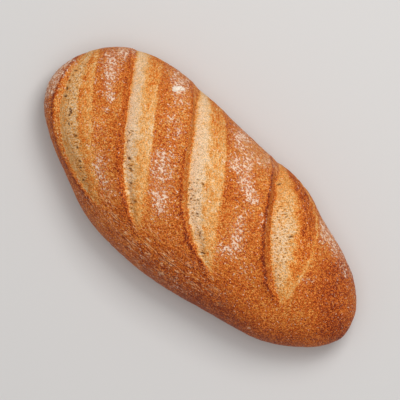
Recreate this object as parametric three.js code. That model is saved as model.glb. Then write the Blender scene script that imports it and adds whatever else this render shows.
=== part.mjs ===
// A spelt loaf, baked free-standing: long and domed, blunt at one end and slimmer at the other, with a
// flat underside. Four slanting cuts opened across its top in the oven. At each cut the crust on the left
// stands up as a lip, the crumb falls away steeply behind it, and rises in a soft belly to the crust on
// the right.
//
// +X runs along the loaf towards the slim end, +Y across it and +Z up. The origin is the middle of the
// underside.
import * as THREE from "three";

// Driving dimensions, in millimetres.
const CROWN_HEIGHT = 70; // top of the dome, before the lips stand up
const WAIST_HEIGHT = 22; // height of the widest line around the loaf
const FOOT_INSET = 9; // how far the flat underside keeps inside the widest line
const CROWN_POWER = 2.35; // above 2 the dome is flatter on top and fuller at the shoulders

// The widest line around the loaf seen from above, clockwise from the blunt end.
const OUTLINE = [
  [-140, -1],
  [-131.5, 29.5],
  [-114, 48],
  [-88, 58.5],
  [-54, 61.5],
  [-19, 62],
  [15, 62],
  [34, 63],
  [52, 61],
  [75, 53.5],
  [101, 46],
  [118, 38],
  [134.5, 22.5],
  [140, 5],
  [134, -11],
  [118, -27],
  [101, -38],
  [75, -46.5],
  [32, -57],
  [8, -61.5],
  [-19, -63],
  [-54, -60],
  [-88, -47],
  [-114, -35],
  [-131.5, -22],
];
const LENGTH_HALF = Math.max(...OUTLINE.map(([x]) => x));
const WIDTH_HALF = Math.max(...OUTLINE.map(([, y]) => y));

// Each cut runs from start to end. lip and far bend its two edges off that straight line, at the start,
// early and late along it: the lip is the edge at the blunt end's side, and the far edge is where the
// crust begins again. face is the width of the lip's steep inner side, rise how far the lip stands up,
// depth how far the crumb drops behind it, and belly how far the crumb swells between the edges.
const CUTS = [
  {
    start: [-137, 34],
    end: [-47.5, -49.5],
    lip: [5.5, -45, -30],
    far: [8.5, -6, -3.5],
    face: 3.5,
    rise: 1.2,
    depth: 2.6,
    belly: 1.6,
  },
  {
    start: [-103, 63],
    end: [-17.5, -42],
    lip: [-11.5, -11.5, -23.5],
    far: [11, -0.5, 8.5],
    face: 4.5,
    rise: 1.7,
    depth: 3.6,
    belly: 1.9,
  },
  {
    start: [-51, 69],
    end: [41.5, -27],
    lip: [-9.5, -9, -33],
    far: [2, 20, -1],
    face: 5.5,
    rise: 2.0,
    depth: 4.2,
    belly: 2.1,
  },
  {
    start: [33, 69],
    end: [92.5, -11.5],
    lip: [-13, -11.5, -19],
    far: [-6, 34.5, 19.5],
    face: 6.5,
    rise: 2.8,
    depth: 4.8,
    belly: 2.8,
  },
];
const CUT_LEAD = 0.16; // share of its length that a cut runs on past its start, closing, down the wall
const CUT_FADE = 0.2; // share of its length over which it closes at its end
const FACE_END = 0.65; // share of its width that the lip's inner side keeps at the cut's end
const FACE_FADE = 0.4; // share of the cut's length over which it narrows
const EDGE_SHARE = 0.12; // share of its relief that a cut keeps where it runs over the widest line
const EDGE_REACH = 18; // how far inside the widest line a cut has its full relief
const LEAST_OPENING = 1; // width of a cut where its edges meet
const LIP_REACH = 12; // how far back from the lip the crust is lifted
const CRUMB_CURVE = 1.6; // how quickly the crumb climbs out of the drop behind the lip
const TAIL_DEPTH = 0.35; // share of that drop that is left at the cut's end
const TAIL_REACH = 0.5; // share of the cut's length over which it gets shallower
const RIM_RISE = 0.6; // the low edge where the crust begins again
const RIM_REACH = 4;

// The surface is one grid of cells wrapped over the loaf, from the foot on one side to the foot on the
// other.
const CELLS_LONG = 114;
const CELLS_ACROSS = 42;
const GRID_LEAN = 0.42; // the grid's cross lines lean the way the cuts run
const WALL_SHARE = 0.14; // share of the cells, from crown to foot, below the widest line
const LIP_PULL = 0.45; // the grid's lines are drawn together at the lips by this share
const LIP_PULL_REACH = 8;
const CELL_HALF = 1.4; // half a cell's size, over which the cuts' relief is averaged
const PROFILE_STEPS = 240; // fine steps that the dome's slope is measured in
const OUTLINE_STEPS = 1440; // fine steps that the widest line is measured in
const SPINE_HALF = 84; // half length of the line inside the loaf that the surface swells away from
const SPINE_HEIGHT = 14;

const CRUST_COLOUR = 0xb9662a;
const CRUST_ROUGHNESS = 0.62;

const clamp01 = (value) => Math.min(1, Math.max(0, value));

const smooth = (value) => {
  const t = clamp01(value);
  return t * t * (3 - 2 * t);
};

// Distance from the loaf's middle to its widest line, for a bearing seen from above.
function makeReach() {
  const points = OUTLINE.map(([x, y]) => new THREE.Vector3(x, y, 0));
  const curve = new THREE.CatmullRomCurve3(points, true, "centripetal");
  const table = curve
    .getPoints(OUTLINE_STEPS)
    .map((p) => [Math.atan2(p.y, p.x), Math.hypot(p.x, p.y)])
    .sort((a, b) => a[0] - b[0]);
  const [first, last] = [table[0], table[table.length - 1]];
  table.unshift([last[0] - 2 * Math.PI, last[1]]);
  table.push([first[0] + 2 * Math.PI, first[1]]);
  return (bearing) => {
    let low = 0;
    let high = table.length - 1;
    while (high - low > 1) {
      const middle = (low + high) >> 1;
      if (table[middle][0] <= bearing) low = middle;
      else high = middle;
    }
    const [a, b] = [table[low], table[high]];
    const share = (bearing - a[0]) / (b[0] - a[0] || 1);
    return THREE.MathUtils.lerp(a[1], b[1], share);
  };
}

// Height of the uncut dome where the plan distance is the given share of the way to the widest line.
const domeHeight = (share) =>
  WAIST_HEIGHT + (CROWN_HEIGHT - WAIST_HEIGHT) * Math.sqrt(Math.max(0, 1 - share ** CROWN_POWER));

// Shares of the way to the widest line at equal steps along the dome's own slope, so that cells keep
// their size where the dome turns down.
function makeEvenShares() {
  const meanReach = (LENGTH_HALF + WIDTH_HALF) / 2;
  const shares = [0];
  const lengths = [0];
  for (let i = 1; i <= PROFILE_STEPS; i++) {
    const share = Math.sin((Math.PI / 2) * (i / PROFILE_STEPS));
    const run = (share - shares[i - 1]) * meanReach;
    const drop = domeHeight(share) - domeHeight(shares[i - 1]);
    shares.push(share);
    lengths.push(lengths[i - 1] + Math.hypot(run, drop));
  }
  const total = lengths[PROFILE_STEPS];
  return (step) => {
    const wanted = clamp01(step) * total;
    let i = 1;
    while (i < PROFILE_STEPS && lengths[i] < wanted) i++;
    const part = (wanted - lengths[i - 1]) / (lengths[i] - lengths[i - 1]);
    return THREE.MathUtils.lerp(shares[i - 1], shares[i], part);
  };
}

const reach = makeReach();
const evenShare = makeEvenShares();

// Sideways offset of one edge of a cut from its straight line, at a share of the cut's length.
function bowAt([first, early, late], share) {
  const t = clamp01(share);
  return (1 - t) ** 3 * first + 3 * t * (1 - t) * ((1 - t) * early + t * late);
}

// A bell-shaped weight, 1 at zero.
const bell = (value) => Math.exp(-value * value);

// Where a point of the plan lies in a cut: its distance past the lip, the cut's width there, the width of
// the lip's inner side, how far the crumb drops behind the lip, how open the cut is, and the direction
// across it.
function cutPlace(cut, x, y) {
  const [startX, startY] = cut.start;
  const alongX = cut.end[0] - startX;
  const alongY = cut.end[1] - startY;
  const length = Math.hypot(alongX, alongY);
  const t = ((x - startX) * alongX + (y - startY) * alongY) / length ** 2;
  const across = ((y - startY) * alongX - (x - startX) * alongY) / length;
  const inset = reach(Math.atan2(y, x)) - Math.hypot(x, y);
  const kept = THREE.MathUtils.lerp(EDGE_SHARE, 1, smooth(inset / EDGE_REACH));
  return {
    fromLip: across - bowAt(cut.lip, t),
    width: Math.max(LEAST_OPENING, bowAt(cut.far, t) - bowAt(cut.lip, t)),
    face: cut.face * THREE.MathUtils.lerp(FACE_END, 1, smooth((1 - t) / FACE_FADE)),
    depth: cut.depth * THREE.MathUtils.lerp(TAIL_DEPTH, 1, smooth((1 - t) / TAIL_REACH)),
    open: kept * smooth(1 + t / CUT_LEAD) * smooth((1 - t) / CUT_FADE),
    acrossX: -alongY / length,
    acrossY: alongX / length,
  };
}

// How far one cut moves the surface at a point of the plan.
function cutRelief(cut, x, y) {
  const { fromLip, width, face, depth, open } = cutPlace(cut, x, y);
  const q = clamp01(fromLip / width);
  const lift = cut.rise * bell(Math.min(0, fromLip + face) / LIP_REACH);
  const dropped = smooth(1 + fromLip / face);
  const crumb = cut.belly * Math.sin(Math.PI * q) - depth * (1 - q) ** CRUMB_CURVE;
  const rim = RIM_RISE * bell((fromLip - width) / RIM_REACH);
  return open * ((1 - dropped) * lift + dropped * (crumb + rim));
}

// All the cuts' relief at a point of the plan, averaged over the four corners of a cell around it, so
// that a lip isn't jagged where it crosses the grid's lines aslant.
function reliefAt(x, y) {
  const steps = [-CELL_HALF, CELL_HALF];
  const corners = steps.flatMap((stepX) => steps.map((stepY) => [x + stepX, y + stepY]));
  const reliefs = CUTS.flatMap((cut) => corners.map((corner) => cutRelief(cut, ...corner)));
  return reliefs.reduce((sum, relief) => sum + relief) / corners.length;
}

// Draws a point of the plan towards the lips near it, where the surface turns sharply and needs finer
// cells.
function pulledToLips(x, y, share) {
  let [movedX, movedY] = [x, y];
  for (const cut of CUTS) {
    const { fromLip, face, open, acrossX, acrossY } = cutPlace(cut, x, y);
    const middle = fromLip + face / 2;
    const shift = -share * LIP_PULL * middle * bell(middle / LIP_PULL_REACH) * open;
    movedX += shift * acrossX;
    movedY += shift * acrossY;
  }
  return [movedX, movedY];
}

// Moves a point of the plain loaf away from the spine inside it.
function swell(point, amount) {
  const along = THREE.MathUtils.clamp(point.x, -SPINE_HALF, SPINE_HALF);
  const spine = new THREE.Vector3(along, 0, SPINE_HEIGHT);
  const away = point.clone().sub(spine).normalize();
  return point.addScaledVector(away, amount);
}

// The plan position for a point of the unit square: the middle is the crown, and the square's edge is the
// foot. The wall below the widest line is laid out flat around the plan.
function planAt(u, v) {
  const leaning = u - GRID_LEAN * v * (1 - u * u) * Math.sqrt(1 - v * v);
  const discX = leaning * Math.sqrt(1 - (v * v) / 2);
  const discY = v * Math.sqrt(1 - (leaning * leaning) / 2);
  const step = Math.min(1, Math.hypot(discX, discY));
  const bearing = Math.atan2(WIDTH_HALF * discY, LENGTH_HALF * discX);
  const wall = clamp01((step - (1 - WALL_SHARE)) / WALL_SHARE);
  const distance = reach(bearing) * evenShare(step / (1 - WALL_SHARE)) + WAIST_HEIGHT * wall;
  return pulledToLips(distance * Math.cos(bearing), distance * Math.sin(bearing), 1 - wall);
}

// The loaf's surface over a plan position. A cut fades out down the wall, so that it carries over the
// shoulder.
function surfaceAt([x, y]) {
  const bearing = Math.atan2(y, x);
  const distance = Math.hypot(x, y);
  const widest = reach(bearing);
  const wall = clamp01((distance - widest) / WAIST_HEIGHT);
  const turn = (Math.PI / 2) * wall;
  const out = Math.min(distance, widest) - FOOT_INSET * (1 - Math.cos(turn));
  const height = wall > 0 ? WAIST_HEIGHT * (1 - Math.sin(turn)) : domeHeight(distance / widest);
  const point = new THREE.Vector3(out * Math.cos(bearing), out * Math.sin(bearing), height);
  return swell(point, reliefAt(x, y) * (1 - smooth(wall)));
}

// The grid's outer ring, in order, as indices into its vertices.
function footRing(columns, rows) {
  const ring = [];
  for (let i = 0; i < columns - 1; i++) ring.push(i);
  for (let j = 0; j < rows - 1; j++) ring.push(j * columns + columns - 1);
  for (let i = columns - 1; i > 0; i--) ring.push((rows - 1) * columns + i);
  for (let j = rows - 1; j > 0; j--) ring.push(j * columns);
  return ring;
}

// Two triangles for each cell of the grid, split along the shorter diagonal.
function cellFaces(points, columns, rows) {
  const faces = [];
  for (let j = 0; j < rows - 1; j++) {
    for (let i = 0; i < columns - 1; i++) {
      const a = j * columns + i;
      const [b, c, d] = [a + 1, a + columns + 1, a + columns];
      const shorter = points[a].distanceTo(points[c]) < points[b].distanceTo(points[d]);
      faces.push(...(shorter ? [a, b, c, a, c, d] : [a, b, d, b, c, d]));
    }
  }
  return faces;
}

// Closes the flat underside inside the foot's ring, facing down.
function underside(points, ring) {
  const contour = ring.map((index) => new THREE.Vector2(points[index].x, points[index].y));
  const triangles = THREE.ShapeUtils.triangulateShape(contour, []);
  return triangles.flatMap(([a, b, c]) => [ring[a], ring[c], ring[b]]);
}

function loafGeometry() {
  const columns = CELLS_LONG + 1;
  const rows = CELLS_ACROSS + 1;
  const points = [];
  for (let j = 0; j < rows; j++) {
    for (let i = 0; i < columns; i++) {
      points.push(surfaceAt(planAt((2 * i) / CELLS_LONG - 1, (2 * j) / CELLS_ACROSS - 1)));
    }
  }
  const geometry = new THREE.BufferGeometry().setFromPoints(points);
  const ring = footRing(columns, rows);
  geometry.setIndex([...cellFaces(points, columns, rows), ...underside(points, ring)]);
  geometry.computeBoundingBox();
  const middle = geometry.boundingBox.getCenter(new THREE.Vector3());
  geometry.translate(-middle.x, -middle.y, 0);
  geometry.computeVertexNormals();
  return geometry;
}

const crust = new THREE.MeshStandardMaterial({
  color: CRUST_COLOUR,
  roughness: CRUST_ROUGHNESS,
  metalness: 0,
});

const loaf = new THREE.Mesh(loafGeometry(), crust);
loaf.name = "loaf";

const bread = new THREE.Group();
bread.add(loaf);

export default bread;
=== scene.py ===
"""Looks of the spelt loaf: its crust, the torn cuts and their crumb, the flour on it, light and camera.

Sizes are in millimetres until the meshes are made. +X runs along the loaf to its slim end, +Y across it
and +Z up. A noise in the meshes takes points, the size of its lumps and a seed of its own, and the number
before its call is how strong it is.
"""

import itertools
import math
from types import SimpleNamespace

import bpy
import numpy as np
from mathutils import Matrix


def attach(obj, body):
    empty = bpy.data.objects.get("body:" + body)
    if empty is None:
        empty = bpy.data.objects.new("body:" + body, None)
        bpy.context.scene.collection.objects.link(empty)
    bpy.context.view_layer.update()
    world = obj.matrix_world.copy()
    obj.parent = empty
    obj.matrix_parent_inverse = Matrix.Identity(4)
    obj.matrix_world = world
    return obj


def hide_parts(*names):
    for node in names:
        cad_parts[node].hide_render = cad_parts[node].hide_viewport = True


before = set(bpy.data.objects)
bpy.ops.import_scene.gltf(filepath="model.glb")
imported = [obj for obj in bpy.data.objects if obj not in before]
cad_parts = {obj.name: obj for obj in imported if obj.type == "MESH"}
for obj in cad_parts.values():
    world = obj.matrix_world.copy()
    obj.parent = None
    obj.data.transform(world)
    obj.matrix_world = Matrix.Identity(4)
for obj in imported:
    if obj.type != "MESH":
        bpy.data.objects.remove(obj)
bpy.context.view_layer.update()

MM = 0.001  # metres in a millimetre

# ---------------------------------------------------------------- sizes of the loaf, as its solid has them
CROWN_HEIGHT = 70.0  # top of the dome
WAIST_HEIGHT = 22.0  # height of the widest line around the loaf
FOOT_INSET = 9.0  # how far the underside keeps inside the widest line
CROWN_POWER = 2.35  # above 2 the dome is fuller at the shoulders
SPINE_HALF = 84.0  # half length of the line inside the loaf that relief points away from
SPINE_HEIGHT = 14.0
OUTLINE = np.array([
    (-140, -1), (-131.5, 29.5), (-114, 48), (-88, 58.5), (-54, 61.5), (-19, 62), (15, 62), (34, 63),
    (52, 61), (75, 53.5), (101, 46), (118, 38), (134.5, 22.5), (140, 5), (134, -11), (118, -27),
    (101, -38), (75, -46.5), (32, -57), (8, -61.5), (-19, -63), (-54, -60), (-88, -47), (-114, -35),
    (-131.5, -22),
], float)
LENGTH_HALF, WIDTH_HALF = OUTLINE.max(0)

# lip and far are each edge's bow off the straight line from start to end, at its first, early and late
# parts. face is the width of the lip's inner face, and rise, depth and belly are the heights of the lip,
# of the drop behind it and of the crumb's swell. The rest is looks:
#   pale    the band of bare crumb, as shares of the way across
#   blur    how softly that band ends
#   crumb   how brown it is, at the cut's start, middle and end
#   toast   how brown the opening is beyond it, at the same places
#   fringe  how brown it is between the lip and the band
#   rim     how much browner it gets up to the far edge, and paler where this is below nought
#   edge    how much lighter a line along the far edge is
#   crest   how dark the lip's crest line and the crust behind it are, at the start and the end: burnt edge and painted shade
#   lining  how brown the lip's inner face is
#   climb   how far up that face the crumb gets at the end
#   porous  from which share of the length the crumb is open
CUTS = [
    dict(start=(-137, 34), end=(-47.5, -49.5), lip=(5.5, -45, -30), far=(8.5, -6, -3.5),
         face=3.5, rise=1.2, depth=2.6, belly=1.6, pale=(0.22, 0.6), blur=0.14,
         crumb=(0.28, 0.21, 0.42), toast=(0.56, 0.56, 0.54), fringe=0.31, rim=-0.14, edge=0.08,
         crest=(0.4, 0.34), lining=0.5, climb=0.4, porous=0.0),
    dict(start=(-103, 63), end=(-17.5, -42), lip=(-11.5, -11.5, -23.5), far=(11, -0.5, 8.5),
         face=4.5, rise=1.7, depth=3.6, belly=1.9, pale=(0.0, 0.44), blur=0.4,
         crumb=(0.1, 0.0, 0.26), toast=(0.7, 0.27, 0.42), fringe=0.32, rim=-0.04, edge=0.06,
         crest=(0.12, 0.26), lining=0.7, climb=1.8, porous=0.45),
    dict(start=(-51, 69), end=(41.5, -27), lip=(-9.5, -9, -33), far=(2, 20, -1),
         face=5.5, rise=2.0, depth=4.2, belly=2.1, pale=(0.0, 0.47), blur=0.26,
         crumb=(0.12, 0.0, 0.14), toast=(0.66, 0.31, 0.38), fringe=0.34, rim=-0.04, edge=0.04,
         crest=(0.2, 0.44), lining=0.58, climb=2.0, porous=0.4),
    dict(start=(33, 69), end=(92.5, -11.5), lip=(-13, -11.5, -19), far=(-6, 34.5, 19.5),
         face=6.5, rise=2.8, depth=4.8, belly=2.8, pale=(0.0, 0.52), blur=0.34,
         crumb=(0.47, 0.14, 0.22), toast=(0.88, 0.8, 0.5), fringe=0.44, rim=-0.02, edge=0.42,
         crest=(0.38, 0.4), lining=0.7, climb=0.5, porous=0.2),
]
CUT_PARTS = (0.0, 0.45, 0.9)  # shares of a cut's length that are its start, middle and end
CUT_LEAD = 0.16  # share of its length that a cut runs on past its start, closing, down the wall
CUT_FADE = 0.2  # share of its length over which it closes at its end
FACE_END = 0.65  # share of its width that the lip's inner face keeps at the end
FACE_FADE = 0.4
EDGE_SHARE = 0.12  # share of its relief that a cut keeps over the widest line
EDGE_REACH = 18.0
LEAST_OPENING = 1.0
LIP_REACH = 12.0  # how far back from the lip the crust is lifted
CRUMB_CURVE = 1.6  # how quickly the crumb climbs out of the drop
TAIL_DEPTH = 0.35  # share of the drop that is left at the cut's end
TAIL_REACH = 0.5
RIM_RISE = 0.6  # the low edge where the crust begins again
RIM_REACH = 4.0

# ---------------------------------------------------------------- the fine grid over the loaf
CELLS_LONG = 400
CELLS_ACROSS = 214
WALL_SHARE = 0.16  # share of the cells, from crown to foot, below the widest line
LIP_PULL = 0.5  # the grid's lines are drawn together at the lips by this share
LIP_PULL_REACH = 6.0
CURVE_STEPS = 60  # fine steps of the widest line from one of its points to the next
PROFILE_STEPS = 400  # fine steps that the dome's profile is measured in
UNDERSIDE_RINGS = (0.985, 0.95, 0.88, 0.78, 0.66, 0.53, 0.4, 0.27, 0.14)  # shares of the foot's size
HOLLOW = 0.5  # how far the underside's middle is off the floor
HOLLOW_UNEVEN = 0.12
HOLLOW_CENTRE = 0.6  # height of the vertex that closes it


# ---------------------------------------------------------------- helpers
HASH_AXES = (73856093, 19349663, 83492791)  # large odd numbers that keep the three axes apart
HASH_SEED = (2654435, 97)  # and that keep the seeds apart
HASH_STEPS = ((15, 2246822519), (13, 3266489917))  # shift and factor of each round of mixing
HASH_SHIFT = 16
NOISE_ORIGIN = 37.3  # keeps the loaf's middle off the corners of the noise's cells
NOISE_GAIN = 1.7  # brings the noise's range to about -1 to 1
ROUGH_RANGE = 1.4  # range of noise with its octaves added
SPOT_ORIGIN = 53.1


def smooth(value):
    t = np.clip(value, 0, 1)
    return t * t * (3 - 2 * t)


def mix(a, b, share):
    return a + (b - a) * share


def bell(value):
    return np.exp(-value * value)


def past(value, blur):
    """0 for a value below nought and 1 for one above, with a soft step that is as wide as blur."""
    return smooth(value / blur + 0.5)


def hashed(cell, seed):
    """Random values from 0 to 1, one for each whole-number cell, the same at every run."""
    x, y, z = (cell[..., i].astype(np.uint32) * np.uint32(HASH_AXES[i]) for i in range(3))
    n = x ^ y ^ z ^ np.uint32(seed * HASH_SEED[0] + HASH_SEED[1])
    for shift, factor in HASH_STEPS:
        n = (n ^ (n >> np.uint32(shift))) * np.uint32(factor)
    n = n ^ (n >> np.uint32(HASH_SHIFT))
    return n.astype(float) / (2.0**32 - 1)


def noise(points, size, seed):
    """A smooth random field from about -1 to 1 whose lumps are about size wide."""
    p = points / np.asarray(size, float) + NOISE_ORIGIN
    base = np.floor(p).astype(np.int64)
    f = p - base
    w = f * f * f * (f * (f * 6 - 15) + 10)
    total = np.zeros(len(p))
    for corner in itertools.product((0, 1), repeat=3):
        cell = base + np.array(corner)
        slopes = np.stack([hashed(cell, seed + 11 * i) for i in range(3)], -1) * 2 - 1
        share = np.prod(np.where(corner, w, 1 - w), axis=1)
        total += share * ((f - corner) * slopes).sum(1)
    return total * NOISE_GAIN


def rough_noise(points, size, seed, octaves):
    """Noise with finer and weaker noise added, each octave at half the size."""
    total, weight = 0, 1.0
    for i in range(octaves):
        total = total + weight * noise(points, np.asarray(size, float) / 2**i, seed + 101 * i)
        weight *= 0.5
    return total / ROUGH_RANGE


def nearest_spot(points, size, seed):
    """Distance to the nearest of many scattered spots, in units of their spacing."""
    p = points / np.asarray(size, float) + SPOT_ORIGIN
    base = np.floor(p).astype(np.int64)
    best = np.full(len(p), np.inf)
    for corner in itertools.product((-1, 0, 1), repeat=3):
        cell = base + np.array(corner)
        spot = cell + np.stack([hashed(cell, seed + 7 * i) for i in range(3)], -1)
        best = np.minimum(best, np.linalg.norm(p - spot, axis=1))
    return best


# ---------------------------------------------------------------- the plain loaf
def closed_curve(points, steps):
    """A smooth closed curve through the points, as a centripetal Catmull-Rom spline."""
    found = []
    for i in range(len(points)):
        p0, p1, p2, p3 = (points[(i + k - 1) % len(points)] for k in range(4))
        gaps = [math.sqrt(np.linalg.norm(b - a)) for a, b in ((p0, p1), (p1, p2), (p2, p3))]
        t0, t1 = 0.0, gaps[0]
        t2 = t1 + gaps[1]
        t3 = t2 + gaps[2]
        t = np.linspace(t1, t2, steps, endpoint=False)[:, None]
        a1 = (t1 - t) / (t1 - t0) * p0 + (t - t0) / (t1 - t0) * p1
        a2 = (t2 - t) / (t2 - t1) * p1 + (t - t1) / (t2 - t1) * p2
        a3 = (t3 - t) / (t3 - t2) * p2 + (t - t2) / (t3 - t2) * p3
        b1 = (t2 - t) / (t2 - t0) * a1 + (t - t0) / (t2 - t0) * a2
        b2 = (t3 - t) / (t3 - t1) * a2 + (t - t1) / (t3 - t1) * a3
        found.append((t2 - t) / (t2 - t1) * b1 + (t - t1) / (t2 - t1) * b2)
    return np.concatenate(found)


outline_curve = closed_curve(OUTLINE, CURVE_STEPS)
curve_bearings = np.arctan2(outline_curve[:, 1], outline_curve[:, 0])
curve_order = np.argsort(curve_bearings)
curve_bearings = curve_bearings[curve_order]
curve_reaches = np.hypot(*outline_curve.T)[curve_order]


def reach(bearing):
    """Distance from the loaf's middle to its widest line, for a bearing seen from above."""
    return np.interp(bearing, curve_bearings, curve_reaches, period=2 * math.pi)


def dome_height(share):
    return WAIST_HEIGHT + (CROWN_HEIGHT - WAIST_HEIGHT) * np.sqrt(np.maximum(0, 1 - share**CROWN_POWER))


def even_share(step):
    """The share of the way out to the widest line that a share of the dome's profile gets to."""
    share = np.sin(np.linspace(0, math.pi / 2, PROFILE_STEPS))
    run = np.diff(share) * (LENGTH_HALF + WIDTH_HALF) / 2
    length = np.concatenate([[0], np.cumsum(np.hypot(run, np.diff(dome_height(share))))])
    return np.interp(np.clip(step, 0, 1) * length[-1], length, share)


def grid_plan():
    """The grid's vertices laid out flat, with the wall spread around the dome, and as a unit square."""
    v, u = np.meshgrid(
        np.linspace(-1, 1, CELLS_ACROSS + 1), np.linspace(-1, 1, CELLS_LONG + 1), indexing="ij"
    )
    u, v = u.ravel(), v.ravel()
    disc_x = u * np.sqrt(1 - v * v / 2)
    disc_y = v * np.sqrt(1 - u * u / 2)
    step = np.minimum(1, np.hypot(disc_x, disc_y))
    bearing = np.arctan2(WIDTH_HALF * disc_y, LENGTH_HALF * disc_x)
    wall = np.clip((step - (1 - WALL_SHARE)) / WALL_SHARE, 0, 1)
    distance = reach(bearing) * even_share(step / (1 - WALL_SHARE)) + WAIST_HEIGHT * wall
    plan = np.stack([distance * np.cos(bearing), distance * np.sin(bearing)], 1)
    return plan, np.stack([(u + 1) / 2, (v + 1) / 2], 1)


def plain_surface(plan):
    """Points of the plain loaf for flat plan points, and how far down the wall each is, from 0 to 1."""
    bearing = np.arctan2(plan[:, 1], plan[:, 0])
    distance = np.hypot(*plan.T)
    widest = reach(bearing)
    wall = np.clip((distance - widest) / WAIST_HEIGHT, 0, 1)
    turn = wall * math.pi / 2
    out = np.minimum(distance, widest) - FOOT_INSET * (1 - np.cos(turn))
    dome = dome_height(np.minimum(1, distance / widest))
    height = np.where(wall > 0, WAIST_HEIGHT * (1 - np.sin(turn)), dome)
    return np.stack([out * np.cos(bearing), out * np.sin(bearing), height], 1), wall


def away_from_spine(points):
    spine = np.zeros_like(points)
    spine[:, 0] = np.clip(points[:, 0], -SPINE_HALF, SPINE_HALF)
    spine[:, 2] = SPINE_HEIGHT
    away = points - spine
    return away / np.linalg.norm(away, axis=1, keepdims=True)


# ---------------------------------------------------------------- the cuts
def bow_at(bends, share):
    t = np.clip(share, 0, 1)
    return (1 - t) ** 3 * bends[0] + 3 * t * (1 - t) * ((1 - t) * bends[1] + t * bends[2])


class CutPlace:
    """Where plan points lie in a cut: how far along it they are, in mm and as a share t, how far past the
    lip, how wide the opening and the lip's inner face are there, and how open the cut is."""

    def __init__(self, cut, plan):
        self.start = np.array(cut["start"], float)
        chord = np.array(cut["end"], float) - self.start
        length = np.hypot(*chord)
        self.along = chord / length
        self.across = np.array([-self.along[1], self.along[0]])
        self.run = (plan - self.start) @ self.along
        self.t = self.run / length
        self.from_lip = (plan - self.start) @ self.across - bow_at(cut["lip"], self.t)
        self.width = np.maximum(LEAST_OPENING, bow_at(cut["far"], self.t) - bow_at(cut["lip"], self.t))
        self.face = cut["face"] * mix(FACE_END, 1, smooth((1 - self.t) / FACE_FADE))
        inset = reach(np.arctan2(plan[:, 1], plan[:, 0])) - np.hypot(*plan.T)
        kept = mix(EDGE_SHARE, 1, smooth(inset / EDGE_REACH))
        self.opened = kept * smooth(1 + self.t / CUT_LEAD) * smooth((1 - self.t) / CUT_FADE)


def pull_to_lips(plan):
    """Draws the grid's lines together at the lips, where the surface turns sharply."""
    moved = plan.copy()
    for cut in CUTS:
        place = CutPlace(cut, plan)
        middle = place.from_lip + place.face / 2
        shift = -LIP_PULL * middle * bell(middle / LIP_PULL_REACH) * place.opened
        moved += shift[:, None] * place.across
    return moved


def cut_relief(cut, place):
    """The cut's own shape, as the solid has it."""
    q = np.clip(place.from_lip / place.width, 0, 1)
    lift = cut["rise"] * bell(np.minimum(0, place.from_lip + place.face) / LIP_REACH)
    dropped = smooth(1 + place.from_lip / place.face)
    depth = cut["depth"] * mix(TAIL_DEPTH, 1, smooth((1 - place.t) / TAIL_REACH))
    crumb = cut["belly"] * np.sin(math.pi * q) - depth * (1 - q) ** CRUMB_CURVE
    rim = RIM_RISE * bell((place.from_lip - place.width) / RIM_REACH)
    return place.opened * ((1 - dropped) * lift + dropped * (crumb + rim))


# ---------------------------------------------------------------- the fine surface
# Holes in the crumb: x, y, length across the cut, width along it, and depth.
HOLES = [
    (-129.7, 10.0, 2.2, 1.2, 0.8), (-129.0, 6.4, 1.6, 1.1, 0.6), (-129.0, 2.1, 1.8, 1.2, 0.7),
    (-123.3, -8.6, 2.9, 1.8, 1.1), (-111.5, -13.6, 1.9, 3.6, 0.9), (-96.8, -23.7, 2.4, 1.6, 0.8),
    (-82.5, -34.4, 2.4, 1.4, 0.9), (-78.9, -37.2, 2.0, 1.3, 0.7), (-71.7, -43.0, 1.8, 1.1, 0.6),
    (-66.7, 0.0, 2.0, 1.0, 0.6), (-58.1, -9.3, 2.2, 1.1, 0.7), (-52.4, -14.3, 2.0, 1.1, 0.6),
    (-45.3, -21.5, 2.4, 1.2, 0.8), (-33.8, -27.9, 2.0, 1.0, 0.6), (-41.7, 42.2, 2.0, 1.3, 1.2),
    (-7.3, 2.8, 1.8, 1.0, 0.6), (3.5, -4.5, 2.2, 1.1, 0.7), (14.0, -12.0, 2.4, 1.1, 0.7),
    (25.5, -22.0, 3.4, 0.9, 0.8), (62.8, 29.3, 3.2, 1.2, 1.1), (31.5, 53.0, 2.4, 1.0, 0.8),
    (85.7, 12.1, 1.8, 1.2, 0.7), (-110.4, -16.0, 2.2, 1.6, 0.6), (-113.0, -12.4, 1.6, 1.4, 0.5),
    (-126.4, -3.4, 1.6, 2.3, 0.4), (-90.5, -28.2, 1.5, 2.6, 0.5), (-106.6, -20.6, 1.2, 2.2, 0.4),
]
HOLE_EDGE = 0.5

# Crust browned more or less than the rest, with painted shade on the low side and slim end: x, y, radius,
# and how much.
BROWNED_AND_SHADED = [
    (138, 4, 17, 0.28), (120, -26, 16, 0.14), (100, -42, 18, 0.2), (72, -50, 18, 0.24),
    (40, -52, 18, 0.28), (8, -54, 18, 0.24), (-26, -54, 18, 0.12), (-60, -52, 16, 0.12),
    (-90, -42, 14, 0.08), (106, 32, 14, 0.22), (112, 12, 14, 0.16), (84, -18, 12, 0.02),
    (52, -30, 16, 0.06), (22, 4, 14, -0.02), (-36, 6, 14, -0.02), (-60, 44, 14, -0.05),
    (-116, 30, 10, 0.02), (-80, -2, 12, -0.03), (2, 54, 12, -0.05), (20, 58, 12, -0.08),
    (40, 46, 10, -0.02), (-128, -16, 8, 0.05), (30, -28, 8, 0.08), (-30, -40, 8, 0.05),
    (-88, 14, 7, -0.14), (-92, -5, 6, -0.12), (-95, 30, 6, 0.06), (-78, -22, 6, -0.1),
    (-48, 38, 5, -0.1), (-35, 22, 5, -0.08), (24, 46, 5, -0.16), (38, 30, 4, -0.14), (47, 12, 5, -0.08),
    (5, 22, 9, 0.1), (-20, -30, 6, -0.08),
]

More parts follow.
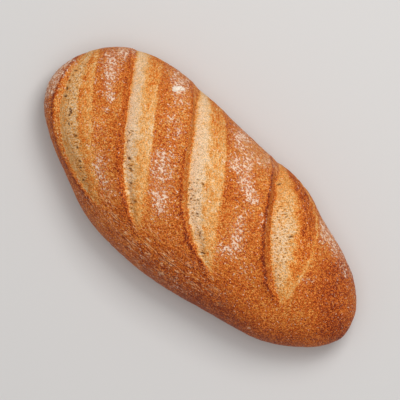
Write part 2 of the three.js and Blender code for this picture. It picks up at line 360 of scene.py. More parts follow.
# Crust that was stretched until fine pale lines showed in it: x, y, radius and strength.
STRETCHED = [
    (-64, -46, 10, 0.7), (-46, -46, 11, 0.9), (-26, -46, 11, 1.0), (-6, -46, 11, 1.0), (14, -46, 11, 1.0),
    (34, -42, 11, 0.7), (54, -36, 10, 0.35), (4, 58, 7, 0.6), (18, 58, 7, 0.6), (32, 54, 7, 0.45),
    (40, -30, 8, 0.5),
]

# Flour on the crust: x, y, radius and strength of each dusted patch.
FLOUR_PATCHES = [
    (-136, 8, 12, 1.3), (-137, -12, 10, 1.3), (-132, -28, 8, 0.8), (-111, 47, 8, 0.8), (-103, 51, 7, 0.6),
    (-119, 34, 6, 1.0), (-111, 26, 6, 1.2), (-104, 20, 5, 1.2), (-98, 14, 4, 1.2), (-111, 43, 6, 0.6),
    (-93, 5, 3, 1.3), (-88, -10, 6, 0.6), (-97, 30, 3, 0.9), (-75, -24, 8, 0.7), (-66, -32, 8, 0.8),
    (-54, -33, 6, 0.6),
    (-72, 56, 8, 0.8), (-66, 50, 6, 0.8), (-60, 44, 7, 0.6), (-57, 31, 7, 0.7), (-44, 28, 6, 0.7),
    (-43, 10, 11, 0.55), (-37, 2, 11, 0.6), (-30, -9, 11, 0.55), (-22, -16, 9, 0.65), (-14, -22, 8, 0.5),
    (-14, 59, 8, 0.8), (-6, 54, 7, 0.7), (0, 40, 6, 0.9), (7, 44, 5, 0.8), (12, 36, 6, 1.0),
    (19, 32, 7, 0.9), (25, 28, 6, 0.7), (14, 56, 8, 0.55), (4, 50, 6, 0.6), (28, 12, 7, 0.6),
    (34, 4, 7, 0.7), (41, -3, 7, 0.9), (34, -11, 6, 0.8), (46, 20, 5, 0.6), (41, 26, 5, 0.7),
    (55, -12, 7, 0.5),
    (78, 50, 8, 0.9), (88, 47, 7, 0.9), (99, 44, 6, 0.8), (110, 38, 6, 0.7), (93, 14, 3, 0.7),
    (-20, -60, 9, 0.25), (0, -60, 9, 0.25), (20, -57, 8, 0.25), (-60, -58, 8, 0.25), (30, -45, 7, 0.3),
]
CRUST_BAKE = 0.68  # how brown the crust is, away from browned spots and cuts
WALL_BAKE = 0.6  # how brown it is low on the wall
FOOT_DUST = 0.4  # flour near the foot
GRAIN_APART = 50.0  # sets each cut's grain apart from the others'
SPOT_WANDER = 3.0  # how far the edges of browned, stretched and dusted places wander
WANDER_SIZE = 9.0

# How softly the looks of a cut go over into each other.
FRINGE_BLUR = 0.1  # share of the way across
ENDS_BLUR = 0.12  # share of its length
FAR_BLUR = 1.2
LATE_BLUR = 5.0  # how much softer than that the far side is late along the cut
CREST_BLUR = 1.2
FACE_BLUR = 0.8


def spots(plan, places):
    """For each vertex, the sum of the amounts of round places (x, y, radius, amount), fading outwards."""
    flat = plan_3d(plan)
    wobble = np.stack([noise(flat, WANDER_SIZE, seed) for seed in (90, 91)], 1) * SPOT_WANDER
    total = np.zeros(len(plan))
    for x, y, radius, amount in places:
        total += amount * bell(np.hypot(*(plan + wobble - (x, y)).T) / radius)
    return total


def plan_3d(plan):
    return np.column_stack([plan, np.zeros(len(plan))])


def hole_mask(place, plan, plain):
    """1 at the middle of a hole in the cut's crumb, and its depth there."""
    mask = np.zeros(len(plan))
    depth = np.zeros(len(plan))
    uneven = 0.6 * noise(plain, 1.3, 95)
    for x, y, long, wide, deep in HOLES:
        offset = plan - (x, y)
        away = np.hypot(offset @ place.across / long, offset @ place.along / wide) * 2
        here = past(1 - away + uneven * (away < 3), HOLE_EDGE)
        mask = np.maximum(mask, here)
        depth = np.maximum(depth, deep * here)
    return mask, depth


def crust_relief(plain, crust):
    """Low swells, wrinkles and a pebbled skin, in mm."""
    swells = 0.5 * noise(plain, 44, 1) + 0.35 * noise(plain, 17, 2)
    wrinkles = 0.22 * rough_noise(plain, 7, 14, 2)
    pebbles = 0.28 * (0.55 - nearest_spot(plain, 2.7, 3)) + 0.1 * noise(plain, 2.2, 4)
    return swells + crust * (wrinkles + pebbles)


def opening_browning(number, cut, place, plain):
    """How brown the inside of a cut is, and 1 where it shows bare crumb."""
    q = place.from_lip / place.width
    low, high = cut["pale"]
    ragged = 0.05 * noise(plain, 8, 50 + number) + 0.06 * noise(plain, 2.6, 60 + number)
    past_fringe = past(q - low + ragged, FRINGE_BLUR)
    band = past_fringe * past(high - q + ragged, cut["blur"])

    golden = np.interp(place.t, CUT_PARTS, cut["toast"]) + 0.07 * noise(plain, 5, 70 + number)
    golden += cut["rim"] * smooth((q - high) / (1 - high))
    golden += 0.22 * bell((q - high - 0.04) / 0.07) * noise(plain, 4, 100 + number)
    line = bell((place.width - place.from_lip - 1.3) / 1.2) * (0.8 + 0.8 * noise(plain, 7, 110 + number))
    golden = mix(cut["fringe"], golden - cut["edge"] * line, past_fringe)

    crumb = np.interp(place.t, CUT_PARTS, cut["crumb"]) + 0.04 * noise(plain, 6, 80 + number)
    crumb += 0.2 * smooth((place.t - 0.75) / 0.25)
    crumb = mix(crumb, cut["fringe"], bell(place.from_lip / 1.3))
    return mix(golden, crumb, band), band


def roughen(place, number, plain, above):
    """Makes a cut's edges ragged, more so late along it, and fades the cut out down the wall."""
    place.opened = place.opened * above
    place.late = smooth((place.t - 0.25) / 0.6)
    fine = 0.5 * (1 + 1.4 * place.late) * noise(plain, 3.2, 30 + number)
    place.from_lip = place.from_lip + 0.8 * noise(plain, 9, 20 + number) + fine
    place.past_crest = place.from_lip + place.face


def mark_inside(place, climb, number, plain, above):
    """Where a cut runs and where it is open. At its end the crumb climbs up the lip's inner face."""
    place.from_lip = place.from_lip + climb * place.late
    place.width = place.width + climb * place.late
    closing = 1.04 - place.t + 0.035 * noise(plain, 4, 15 + number)
    place.within = smooth((place.t + CUT_LEAD) / ENDS_BLUR) * smooth(closing / ENDS_BLUR) * above
    far_side = past(place.width - place.from_lip, FAR_BLUR + LATE_BLUR * place.late**2)
    place.inside = smooth(place.from_lip + 0.5) * far_side * place.within


def brown_cut(number, cut, place, plain, looks):
    """Browns the opening and the lip's inner face, paints shade into the fold at the face's foot, darkens
    the lip's crest and the crust behind it with burnt edge and painted shade, keeps flour off them, and
    returns the band of bare crumb."""
    browning, band = opening_browning(number, cut, place, plain)
    bake = mix(looks["bake"], browning, place.inside)
    seen = place.within * place.opened**0.3
    face = past(place.past_crest, CREST_BLUR) * past(-place.from_lip, FACE_BLUR) * seen
    # The lip's inner face; the darker line near its foot, where it meets the crumb, is painted shade in
    # that fold.
    bake = mix(bake, cut["lining"] + 0.14 * bell((place.from_lip + 0.4) / 0.6), face)
    # A dark line on the lip's crest and a broad darkening of the crust behind it: partly burnt edge,
    # partly painted shade of the raised lip.
    line = 1.1 * bell((place.past_crest - 0.1) / 1.0)
    line += (0.08 + 0.16 * place.late) * bell(place.past_crest / 5.0) * (1 - face)
    looks["bake"] = bake + mix(*cut["crest"], place.late) * line * seen * (1 - place.inside)
    bare_face = smooth(place.past_crest / 1.5 + 1.4) * (place.from_lip < 0) * seen
    looks["bare"] = np.maximum(looks["bare"], np.maximum(place.inside, bare_face))
    return band


def dress_cut(number, cut, looks, plan, plain, above):
    """Adds one cut's relief and masks to the looks of every vertex."""
    place = CutPlace(cut, plan)
    roughen(place, number, plain, above)
    crisp = bell((place.past_crest + 0.7) / 1.5) * (0.7 + 0.6 * noise(plain, 6, 40 + number))
    looks["relief"] += cut_relief(cut, place) + place.opened * 0.35 * cut["rise"] * crisp

    mark_inside(place, cut["climb"], number, plain, above)
    band = brown_cut(number, cut, place, plain, looks)
    looks["crumb"] = np.maximum(looks["crumb"], band * place.inside)
    looks["opening"] = np.maximum(looks["opening"], place.inside)
    open_crumb = smooth((place.t - cut["porous"] + 0.15) / 0.3) * (0.25 + 0.75 * band)
    looks["porous"] = np.maximum(looks["porous"], place.inside * open_crumb)
    hole, depth = hole_mask(place, plan, plain)
    looks["hole"] = np.maximum(looks["hole"], hole * place.inside)
    looks["relief"] -= depth * place.inside
    grain = np.column_stack([place.run, place.from_lip, np.full(len(plan), GRAIN_APART * number)])
    looks["grain"] = np.where((place.inside > 0.01)[:, None], grain, looks["grain"])


def loaf_looks(plan, plain, wall):
    """Relief in mm, and the masks that the material reads, for every vertex."""
    count = len(plan)
    above = 1 - smooth(wall)
    looks = {name: np.zeros(count) for name in ("relief", "crumb", "opening", "porous", "hole", "bare")}
    looks["grain"] = np.zeros((count, 3))
    uneven = 0.04 * noise(plain, 30, 5) + 0.04 * noise(plain, 9, 6)
    # The browned spots carry painted shade on the low side and at the slim end.
    looks["bake"] = CRUST_BAKE + uneven + spots(plan, BROWNED_AND_SHADED)
    for number, cut in enumerate(CUTS):
        dress_cut(number, cut, looks, plan, plain, above)

    inside, grain = looks["opening"], looks["grain"]
    looks["relief"] += crust_relief(plain, 1 - inside)
    fibres = np.column_stack([grain[:, 0] / 2.8, grain[:, 1] / 7, grain[:, 2]])
    looks["relief"] += inside * (0.2 + 0.35 * looks["porous"]) * noise(fibres, 1, 8)
    foot = smooth((wall - 0.75) / 0.25)
    looks["relief"] *= 1 - 0.75 * foot
    down = smooth(wall / 0.9)
    looks["bake"] = mix(looks["bake"], WALL_BAKE + 0.05 * noise(plain, 18, 12), 0.75 * down)

    dust = spots(plan, FLOUR_PATCHES)
    dust = np.maximum(dust, 0.08 * noise(plain, 20, 92))
    dust = np.maximum(dust, FOOT_DUST * smooth((wall - 0.25) / 0.5))
    looks["flour"] = np.clip(dust * (1 - 0.9 * looks.pop("bare")), 0, 1)
    looks["stretch"] = np.clip(spots(plan, STRETCHED), 0, 1) * (1 - inside) * above
    return looks


def underside(ring_points):
    """Rings of vertices that close the underside, from the foot inwards: nearly flat, a little hollow."""
    middle = ring_points.mean(0)
    rings = []
    for share in UNDERSIDE_RINGS:
        ring = middle + (ring_points - middle) * share
        hollow = HOLLOW * (1 - share) + HOLLOW_UNEVEN * (1 + noise(ring, 9, 200)) * (1 - share**8)
        ring[:, 2] = np.maximum(0, hollow)
        rings.append(ring)
    centre = middle.copy()
    centre[2] = HOLLOW_CENTRE
    return rings, centre


def grid_faces(columns, rows):
    index = np.arange(columns * rows).reshape(rows, columns)
    quads = np.stack([index[:-1, :-1], index[:-1, 1:], index[1:, 1:], index[1:, :-1]], -1)
    return quads.reshape(-1, 4)


def foot_ring(columns, rows):
    index = np.arange(columns * rows).reshape(rows, columns)
    return np.concatenate([index[0, :-1], index[:-1, -1], index[-1, :0:-1], index[:0:-1, 0]])


UNDERSIDE_UV = 0.25  # share of the map's height that the underside takes
UV_GAP = 0.01
UNDERSIDE_LOOKS = dict(bake=0.7, flour=0.5)  # its masks; the others are nought


def make_piece(name, points, faces, uv):
    """A smooth-shaded mesh object from points in mm, with its flat map, given for each face corner."""
    mesh = bpy.data.meshes.new(name)
    mesh.from_pydata(points * MM, [], faces)
    layer = mesh.uv_layers.new(name="OFBake")
    layer.data.foreach_set("uv", uv.astype(np.float32).ravel())
    mesh.polygons.foreach_set("use_smooth", np.ones(len(mesh.polygons), bool))
    mesh.update()
    piece = bpy.data.objects.new(name, mesh)
    bpy.context.scene.collection.objects.link(piece)
    return piece


def add_mask(mesh, name, values, kind="FLOAT", field="value"):
    layer = mesh.attributes.new(name, kind, "POINT")
    layer.data.foreach_set(field, values.astype(np.float32).ravel())


def loaf_map(points, square, corners, top_corners):
    """The flat map: the grid's own square above, and in a strip under it the underside seen from below."""
    low, high = points.min(0), points.max(0)
    under = (points[:, :2] - low[:2]) / (high[:2] - low[:2]) * (1, UNDERSIDE_UV - UV_GAP)
    top = square * (1, 1 - UNDERSIDE_UV - UV_GAP) + (0, UNDERSIDE_UV + UV_GAP)
    top = np.concatenate([top, np.zeros((len(points) - len(top), 2))])
    is_top = np.arange(len(corners)) < top_corners
    return np.where(is_top[:, None], top[corners], under[corners])


def close_underside(points, ring):
    """The grid's points with the underside's added, and that side's faces: rings of quads round a fan."""
    rings, centre = underside(points[ring])
    quads = []
    last = ring
    for number in range(len(rings)):
        new = len(points) + number * len(ring) + np.arange(len(ring))
        quads.append(np.stack([last, new, np.roll(new, -1), np.roll(last, -1)], 1))
        last = new
    everything = np.concatenate([points, *rings, centre[None]])
    fan = np.stack([last, np.full(len(ring), len(everything) - 1), np.roll(last, -1)], 1)
    return everything, np.concatenate(quads), fan


def make_loaf():
    """The loaf as one closed mesh with its masks, and the places and flour that its loose grains need."""
    columns, rows = CELLS_LONG + 1, CELLS_ACROSS + 1
    plan, square = grid_plan()
    plan = pull_to_lips(plan)
    plain, wall = plain_surface(plan)
    looks = loaf_looks(plan, plain, wall)
    ways = away_from_spine(plain)
    points = plain + ways * looks.pop("relief")[:, None]
    grain = looks.pop("grain") * MM
    ring = foot_ring(columns, rows)
    points[ring, 2] = 0
    points[:, 2] = np.maximum(points[:, 2], 0)

    cells = grid_faces(columns, rows)
    everything, under_quads, fan = close_underside(points, ring)
    quads = np.concatenate([cells, under_quads])
    corners = np.concatenate([quads.ravel(), fan.ravel()])
    uv = loaf_map(everything, square, corners, cells.size)
    piece = make_piece("loaf_crust", everything, quads.tolist() + fan.tolist(), uv)
    extra = len(everything) - len(points)
    for name, values in looks.items():
        under = np.full(extra, UNDERSIDE_LOOKS.get(name, 0.0))
        add_mask(piece.data, name, np.concatenate([values, under]))
    grain = np.concatenate([grain, np.zeros((extra, 3))])
    add_mask(piece.data, "grain", grain, "FLOAT_VECTOR", "vector")
    return piece, plan, points, ways, looks["flour"]


# ---------------------------------------------------------------- loose flour
FLOUR_SEED = 11
LOOSE_GRAINS = 360
LOOSE_SIZE = (0.15, 0.4)  # radius of the smallest and largest loose grain
LEAST_FLOUR = 0.3  # loose grains lie only where there is more flour than this
LOWEST_GRAIN = 8.0  # and only above this height
CLUMP_PLACE = (-67.4, 49.3)
CLUMP_REACH = (4.2, 2.1)  # half its length and width
CLUMP_TURN = math.radians(43)
CLUMP_GRAINS = 130
CLUMP_SIZE = (0.45, 1.1)
GRAIN_SIDES = 6
GRAIN_SPREAD = (0.7, 1.3)  # of its radius, its corners' distances from its middle
GRAIN_HEIGHT = 0.75  # of its radius
GRAIN_STRAY = 0.3  # how far it lies from its vertex
LUMP_LIFT = 0.2  # of its radius, off the crust
LUMP_MAP_RADIUS = 0.22  # of the side of its square in the flat map


def flour_places(plan, points, flour, rng):
    """Vertices that carry a grain of flour, and the grains' radii: loose ones and a clump."""
    chance = np.where((flour > LEAST_FLOUR) & (points[:, 2] > LOWEST_GRAIN), flour**2, 0)
    loose = rng.choice(len(plan), LOOSE_GRAINS, replace=False, p=chance / chance.sum())
    c, s = math.cos(CLUMP_TURN), math.sin(CLUMP_TURN)
    off = (plan - CLUMP_PLACE) @ np.array([[c, -s], [s, c]])
    near = np.hypot(*(off / CLUMP_REACH).T)
    clump = rng.choice(np.flatnonzero(near < 1), CLUMP_GRAINS)
    small = mix(*LOOSE_SIZE, rng.random(LOOSE_GRAINS) ** 2)
    large = mix(*CLUMP_SIZE, rng.random(CLUMP_GRAINS)) * (1.15 - 0.6 * near[clump])
    return np.concatenate([loose, clump]), np.concatenate([small, large])


def lump_corners(centre, way, radii, rng):
    """Each lump's uneven ring of corners, and its top and bottom ones."""
    count = len(centre)
    side = np.cross(way, (0.0, 1.0, 0.0))
    side /= np.linalg.norm(side, axis=1, keepdims=True)
    other = np.cross(way, side)
    centre = centre + side * rng.normal(0, GRAIN_STRAY, (count, 1))
    centre += other * rng.normal(0, GRAIN_STRAY, (count, 1))
    centre += way * radii[:, None] * LUMP_LIFT
    turn = np.arange(GRAIN_SIDES) / GRAIN_SIDES * 2 * math.pi
    spread = radii[:, None] * rng.uniform(*GRAIN_SPREAD, (count, GRAIN_SIDES))
    ring = centre[:, None] + (spread * np.cos(turn))[..., None] * side[:, None]
    ring = ring + (spread * np.sin(turn))[..., None] * other[:, None]
    tall = (way * radii[:, None] * GRAIN_HEIGHT)[:, None]
    return np.concatenate([ring, centre[:, None] + tall, centre[:, None] - tall], 1)


def lump_fans():
    """One lump's faces: a fan to its top corner and one to its bottom corner."""
    k = np.arange(GRAIN_SIDES)
    after = (k + 1) % GRAIN_SIDES
    top, bottom = np.full(GRAIN_SIDES, GRAIN_SIDES), np.full(GRAIN_SIDES, GRAIN_SIDES + 1)
    return np.concatenate([np.stack([k, after, top], 1), np.stack([after, k, bottom], 1)])


def lump_map(fans, count):
    """The flat map of all lumps: each has its own square, with its top and bottom side by side."""
    turn = np.arange(GRAIN_SIDES) / GRAIN_SIDES * 2 * math.pi
    ring = np.stack([np.cos(turn), np.sin(turn)], 1) * LUMP_MAP_RADIUS
    circle = np.concatenate([ring, np.zeros((2, 2))])
    is_bottom = np.arange(len(fans)) >= GRAIN_SIDES
    flat = circle[fans] + np.where(is_bottom, 0.75, 0.25)[:, None, None] * (1, 0) + (0, 0.5)
    cells = math.ceil(math.sqrt(count))
    cell = np.stack([np.arange(count) % cells, np.arange(count) // cells], 1)
    return (cell[:, None, None] + flat[None]) / cells


def make_flour(plan, points, ways, flour):
    """Closed lumps of flour that lie on the crust."""
    rng = np.random.default_rng(FLOUR_SEED)
    where, radii = flour_places(plan, points, flour, rng)
    corners = lump_corners(points[where], ways[where], radii, rng)
    fans = lump_fans()
    faces = fans[None] + corners.shape[1] * np.arange(len(where))[:, None, None]
    uv = lump_map(fans, len(where))
    lumps = corners.reshape(-1, 3)
    return make_piece("loose_flour", lumps, faces.reshape(-1, 3).tolist(), uv.reshape(-1, 2))


# ---------------------------------------------------------------- materials
def linear(red, green, blue):
    """A colour as the screen shows it, 0 to 255, as linear light."""
    values = [c / 255 for c in (red, green, blue)]
    return tuple(c / 12.92 if c <= 0.04045 else ((c + 0.055) / 1.055) ** 2.4 for c in values) + (1.0,)


class Nodes:
    """Adds nodes to a material and links them, with short calls."""

    def __init__(self, name):
        self.material = bpy.data.materials.new(name)
        self.material.use_nodes = True
        self.tree = self.material.node_tree
        self.shader = self.tree.nodes["Principled BSDF"]
        self.place = self.add("ShaderNodeTexCoord").outputs["Object"]

    def add(self, kind, **settings):
        node = self.tree.nodes.new(kind)
        for key, value in settings.items():
            setattr(node, key, value)
        return node

    def put(self, socket, value):
        if isinstance(value, bpy.types.NodeSocket):
            self.tree.links.new(value, socket)
        else:
            socket.default_value = value

    def math(self, operation, a, b=0.0, c=0.0, clamp=False):
        node = self.add("ShaderNodeMath", operation=operation, use_clamp=clamp)
        for socket, value in zip(node.inputs, (a, b, c)):
            self.put(socket, value)
        return node.outputs[0]

    def off_middle(self, value, amount, base=0.0):
        """base, plus amount times how far a value is above its middle of a half."""
        return self.math("MULTIPLY_ADD", self.math("SUBTRACT", value, 0.5), amount, base)

    def attribute(self, name, output="Fac"):
        return self.add("ShaderNodeAttribute", attribute_name=name).outputs[output]

    def in_units_of(self, size, where=None):
        """A place counted in steps of size millimetres, one number or three."""
        steps = (size,) * 3 if isinstance(size, (int, float)) else size
        node = self.add("ShaderNodeVectorMath", operation="DIVIDE")
        self.put(node.inputs[0], where or self.place)
        node.inputs[1].default_value = [step * MM for step in steps]
        return node.outputs[0]

    def noise(self, size, detail=2.0, roughness=0.55, where=None):
        """Smooth noise around a half with lumps of about size millimetres."""
        node = self.add("ShaderNodeTexNoise")
        self.put(node.inputs["Vector"], self.in_units_of(size, where))
        node.inputs["Scale"].default_value = 1.0
        node.inputs["Detail"].default_value = detail
        node.inputs["Roughness"].default_value = roughness
        return node.outputs["Fac"]

    def cells(self, size):
        """Cells of about size millimetres: distance from each one's middle, and its random colour."""
        node = self.add("ShaderNodeTexVoronoi")
        self.put(node.inputs["Vector"], self.in_units_of(size))
        node.inputs["Scale"].default_value = 1.0
        return node.outputs["Distance"], node.outputs["Color"]

    def ramp(self, factor, stops):
        node = self.add("ShaderNodeValToRGB")
        elements = node.color_ramp.elements
        while len(elements) < len(stops):
            elements.new(0.5)
        for element, (position, colour) in zip(elements, stops):
            element.position = position
            element.color = colour
        self.put(node.inputs["Fac"], factor)
        return node.outputs["Color"]

    def blend(self, factor, a, b):
        node = self.add("ShaderNodeMix", data_type="RGBA")
        self.put(node.inputs["Factor"], factor)
        self.put(node.inputs["A"], a)
        self.put(node.inputs["B"], b)
        return node.outputs["Result"]

    def span(self, value, low, high, to_low=0.0, to_high=1.0):
        node = self.add("ShaderNodeMapRange", interpolation_type="SMOOTHSTEP")
        for socket, number in zip(node.inputs, (value, low, high, to_low, to_high)):
            self.put(socket, number)
        return node.outputs[0]

    def bump(self, height, depth):
        """Relief as deep as depth millimetres where the height goes from 0 to 1."""
        node = self.add("ShaderNodeBump")
        node.inputs["Strength"].default_value = 1.0
        node.inputs["Distance"].default_value = depth * MM
        self.put(node.inputs["Height"], height)
        self.put(self.shader.inputs["Normal"], node.outputs[0])


# The colours of baking, from bare crumb to the darkest crust.
BAKING = [
    (0.0, linear(227, 197, 162)),
    (0.12, linear(224, 184, 138)),
    (0.25, linear(220, 167, 105)),
    (0.4, linear(214, 143, 68)),
    (0.55, linear(208, 119, 42)),
    (0.7, linear(197, 94, 21)),
    (0.85, linear(168, 66, 12)),
    (1.0, linear(116, 38, 10)),
]
# The colours of holes and pores in the crumb are painted shade in these hollows.
HOLE_SHADE_COLOUR = linear(112, 68, 34)
PORE_SHADE_COLOUR = linear(116, 74, 40)
FLOUR_COLOUR = linear(246, 214, 190)
FLECK_AND_GLINT_COLOUR = linear(243, 178, 112)
STRETCH_COLOUR = linear(244, 198, 150)
FLECK_AND_GLINT_SHOWS = 0.7  # how far a light fleck in the crust hides the colour under it; the flecks are partly pale grains, partly painted glints
PORE_SHADE_SHOWS = 0.85  # and a pore's painted shade
STRETCH_SHOWS = 0.85  # and a stretched line
VEIL_SHOWS = 0.08  # and the thin dust between the specks of flour

# Where noise goes over from none to all of a pore, a speck of flour and a piece of a stretched line.
PORE_EDGE = (0.735, 0.78)
FLOUR_EDGE = (0.76, 0.785)
STRETCH_EDGE = (0.47, 0.52)

# The masks on the loaf's vertices.
MASKS = ("bake", "crumb", "opening", "porous", "hole", "flour", "stretch")


def crust_patterns(n):
    """The masks and noises that the crust's colour, roughness and relief share."""
    p = SimpleNamespace(**{name: n.attribute(name) for name in MASKS})
    p.grain = n.attribute("grain", "Vector")
    p.middle = n.noise(1.5, detail=3.0, roughness=0.6)
    p.fine = n.noise(0.85, roughness=0.6)
    p.speckle = n.noise(0.7, detail=1.0)
    p.pebble, p.pebble_colour = n.cells(1.2)
    p.torn = n.noise((1.2, 2.0, 1.2), detail=1.5, roughness=0.6, where=p.grain)
    return p


def curls(n, size, width):
    """Thin curled lines in a net of about size millimetres: 1 in the middle of a line."""
    line = n.math("ABSOLUTE", n.off_middle(n.noise(size, detail=1.0), 1.0))
    return n.span(line, width, width / 4)


def crumb_pores(n, p):
    """Small torn pores in the crumb, drawn out across the cut, where shade is painted in: 1 in a pore."""
    pores = n.span(n.math("MULTIPLY_ADD", p.porous, 0.12, p.torn), *PORE_EDGE)
    return n.math("MULTIPLY", pores, p.opening)


def stretch_lines(n, p):
    """Fine pale lines along the loaf, where the crust was stretched: 1 in a line."""
    lines = curls(n, (18.0, 2.2, 2.2), 0.045)
    lines = n.math("MULTIPLY", lines, n.span(n.noise((11.0, 3.0, 3.0)), *STRETCH_EDGE))
    return n.math("MULTIPLY", lines, p.stretch)


def flour_cover(n, p):
    """Broken specks and curls of flour, thickest where most was dusted: 1 under flour."""
    cover = n.off_middle(n.noise((2.2, 1.7, 1.7), detail=1.0), 0.8, base=0.468)
    cover = n.math("MULTIPLY_ADD", p.flour, 0.25, cover)
    cover = n.off_middle(n.noise(6.0, detail=1.0), 0.3, cover)
    cover = n.off_middle(p.fine, 0.3, cover)
    cover = n.math("MULTIPLY_ADD", curls(n, (2.7, 2.1, 2.1), 0.06), 0.16, cover)
    return n.span(cover, *FLOUR_EDGE)


def flour_thickness(n, p, dusted):
    """How much of the crust's colour the flour hides: its specks, over a thin veil of dust."""
    uneven = n.span(n.noise(3.4, detail=1.0), 0.36, 0.64, 0.62, 1.0)
    specks = n.math("MULTIPLY", dusted, uneven)
    return n.math("MULTIPLY_ADD", n.math("MULTIPLY", p.flour, p.flour), VEIL_SHOWS, specks)


def crust_mottle(n, p):
    """Uneven browning of the crust, around nought, drawn out along the loaf where it was stretched."""
    mottle = n.off_middle(n.noise(4.5), 0.18, base=0.02)
    mottle = n.off_middle(p.middle, 0.5, mottle)
    mottle = n.off_middle(p.pebble_colour, 0.3, mottle)
    mottle = n.math("MULTIPLY_ADD", curls(n, 2.0, 0.07), -0.22, mottle)
    streaks = n.off_middle(n.noise((9.0, 0.9, 0.9), detail=1.0), 1.0, base=-0.03)
    mottle = n.math("MULTIPLY_ADD", streaks, p.stretch, mottle)
    return n.off_middle(p.fine, 1.0, mottle)


def opening_mottle(n, p):
    """Uneven browning in a cut: streaks along it where it's toasted, threads and torn crumb across it."""
    streaks = n.off_middle(n.noise((5.0, 1.0, 5.0), where=p.grain), 0.8)
    mottle = n.math("MULTIPLY", n.off_middle(p.crumb, -1.0, 0.5), streaks)
    mottle = n.off_middle(n.noise((0.9, 3.0, 5.0), where=p.grain), 0.25, mottle)
    mottle = n.off_middle(n.noise(3.6), 0.45, mottle)
    mottle = n.math("MULTIPLY_ADD", n.off_middle(p.torn, 1.2), p.porous, mottle)
    return n.off_middle(p.fine, 0.6, mottle)


def browning(n, p):
    """How brown each place is, from 0 to 1, painted shade included. Toasted openings have some of the
    crust's own mottle.
    """
    crust = crust_mottle(n, p)
    inner = n.math("MULTIPLY_ADD", crust, n.span(p.bake, 0.2, 0.7, 0.0, 0.65), opening_mottle(n, p))
    mottle = n.math("MULTIPLY_ADD", n.math("SUBTRACT", inner, crust), p.opening, crust)
    return n.math("ADD", mottle, p.bake, clamp=True)


def crust_colour(n, p, pores, lines):
    """Browned dough with light and dark grains in it, the light ones partly painted glints, pores and
    holes painted dark as shade, and stretched lines.
    """
    shade = n.add("ShaderNodeHueSaturation")
    n.put(shade.inputs["Color"], n.ramp(browning(n, p), BAKING))
    n.put(shade.inputs["Value"], n.off_middle(p.speckle, 2.1, 1.02))
    # Light flecks: partly pale grains, partly painted glints on the pebbled skin.
    flecks_and_glints = n.span(p.speckle, 0.58, 0.78, 0.0, FLECK_AND_GLINT_SHOWS)
    colour = n.blend(flecks_and_glints, shade.outputs["Color"], FLECK_AND_GLINT_COLOUR)
    # Pores and holes get painted shade.
    colour = n.blend(n.math("MULTIPLY", pores, PORE_SHADE_SHOWS), colour, PORE_SHADE_COLOUR)
    colour = n.blend(p.hole, colour, HOLE_SHADE_COLOUR)
    return n.blend(n.math("MULTIPLY", lines, STRETCH_SHOWS), colour, STRETCH_COLOUR)


def fine_relief(n, p, dusted, lines):
    """Pebbles, grains, flour and lines on the crust, and threads and pores in the crumb."""
    height = n.math("MULTIPLY_ADD", p.pebble, -0.6, n.math("MULTIPLY", p.middle, 0.8))
    height = n.math("MULTIPLY_ADD", p.fine, 1.1, height)
    height = n.math("MULTIPLY_ADD", dusted, 0.2, height)
    height = n.math("MULTIPLY_ADD", lines, 0.25, height)
    pore_depth = n.math("MULTIPLY_ADD", p.porous, -0.8, -0.3)
    soft = n.math("MULTIPLY_ADD", p.torn, pore_depth, n.math("MULTIPLY", p.fine, 0.8))
    return n.math("MULTIPLY_ADD", n.math("SUBTRACT", soft, height), p.opening, height)


def crust_material():
    n = Nodes("spelt_crust")
    p = crust_patterns(n)
    pores, lines, dusted = crumb_pores(n, p), stretch_lines(n, p), flour_cover(n, p)
    colour = crust_colour(n, p, pores, lines)
    colour = n.blend(flour_thickness(n, p, dusted), colour, FLOUR_COLOUR)
    n.put(n.shader.inputs["Base Color"], colour)
    rough = n.math("MULTIPLY_ADD", p.opening, 0.25, 0.5)
    rough = n.math("MULTIPLY_ADD", dusted, 0.4, rough)
    n.put(n.shader.inputs["Roughness"], n.off_middle(p.middle, 0.25, rough))
    n.shader.inputs["Specular IOR Level"].default_value = 0.12
    n.bump(fine_relief(n, p, dusted, lines), depth=0.7)
    return n.material


def flour_material():
    n = Nodes("loose_flour")
    lumps = n.noise(0.5)
    colour = n.ramp(lumps, [(0.3, linear(236, 216, 196)), (0.7, linear(252, 242, 230))])
    n.put(n.shader.inputs["Base Color"], colour)
    n.put(n.shader.inputs["Roughness"], n.span(lumps, 0.3, 0.7, 0.85, 1.0))
    n.shader.inputs["Specular IOR Level"].default_value = 0.1
    n.bump(lumps, depth=0.15)
    return n.material


# ---------------------------------------------------------------- stage
PICTURE_MM = 286.2  # width of the photograph's field at the loaf
PICTURE_TURN = math.radians(43.46)  # the loaf lies aslant in the photograph
PICTURE_MIDDLE = (-1.7, 4.0, 30.0)  # the point that the camera looks straight down at
CAMERA_HEIGHT = 2500.0  # above that point
CAMERA_SENSOR = 36.0
CAMERA_FAR = 20.0  # metres
FLOOR_HALF = 3.0  # metres
FLOOR_COLOUR = (0.62, 0.62, 0.63, 1.0)
WARM_WHITE = (1.0, 0.97, 0.93)
NEAR_WHITE = (1.0, 0.99, 0.97)
WORLD_STRENGTH = 0.4


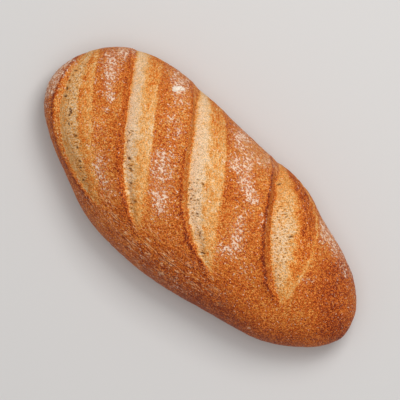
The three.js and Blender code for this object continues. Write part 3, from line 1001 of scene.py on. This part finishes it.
def make_camera():
    data = bpy.data.cameras.new("camera")
    data.sensor_width = CAMERA_SENSOR
    data.lens = data.sensor_width * CAMERA_HEIGHT / PICTURE_MM
    data.clip_end = CAMERA_FAR
    camera = bpy.data.objects.new("camera", data)
    x, y, z = PICTURE_MIDDLE
    camera.location = (x * MM, y * MM, (z + CAMERA_HEIGHT) * MM)
    camera.rotation_euler = (0, 0, PICTURE_TURN)
    bpy.context.scene.collection.objects.link(camera)
    bpy.context.scene.camera = camera


def make_light(name, bearing, elevation, distance, size, watts, colour):
    """A square soft light that looks at the loaf from a bearing counted from +X towards +Y, in degrees."""
    data = bpy.data.lights.new(name, "AREA")
    data.size = size
    data.energy = watts
    data.color = colour
    light = bpy.data.objects.new(name, data)
    a, e = math.radians(bearing), math.radians(elevation)
    light.location = (
        distance * math.cos(a) * math.cos(e),
        distance * math.sin(a) * math.cos(e),
        distance * math.sin(e),
    )
    light.rotation_euler = (math.pi / 2 - e, 0, a + math.pi / 2)
    bpy.context.scene.collection.objects.link(light)


def make_floor():
    mesh = bpy.data.meshes.new("floor")
    corners = [(FLOOR_HALF * x, FLOOR_HALF * y, 0) for x, y in ((-1, -1), (1, -1), (1, 1), (-1, 1))]
    mesh.from_pydata(corners, [], [(0, 1, 2, 3)])
    floor = bpy.data.objects.new("floor", mesh)
    n = Nodes("floor")
    n.shader.inputs["Base Color"].default_value = FLOOR_COLOUR
    n.shader.inputs["Roughness"].default_value = 0.9
    mesh.materials.append(n.material)
    bpy.context.scene.collection.objects.link(floor)


def make_world():
    world = bpy.data.worlds.new("world")
    world.use_nodes = True
    background = world.node_tree.nodes["Background"]
    background.inputs["Color"].default_value = (*WARM_WHITE, 1)
    background.inputs["Strength"].default_value = WORLD_STRENGTH
    bpy.context.scene.world = world


make_camera()
loaf, *bed = make_loaf()
loaf.data.materials.append(crust_material())
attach(loaf, "root")
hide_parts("loaf")
flour = make_flour(*bed)
flour.data.materials.append(flour_material())
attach(flour, "root")

make_floor()
make_world()
make_light("key", bearing=98, elevation=61, distance=1.4, size=0.6, watts=9.6, colour=WARM_WHITE)
make_light("top", bearing=60, elevation=88, distance=1.6, size=1.2, watts=8.1, colour=NEAR_WHITE)
bpy.context.scene.view_settings.view_transform = "Standard"
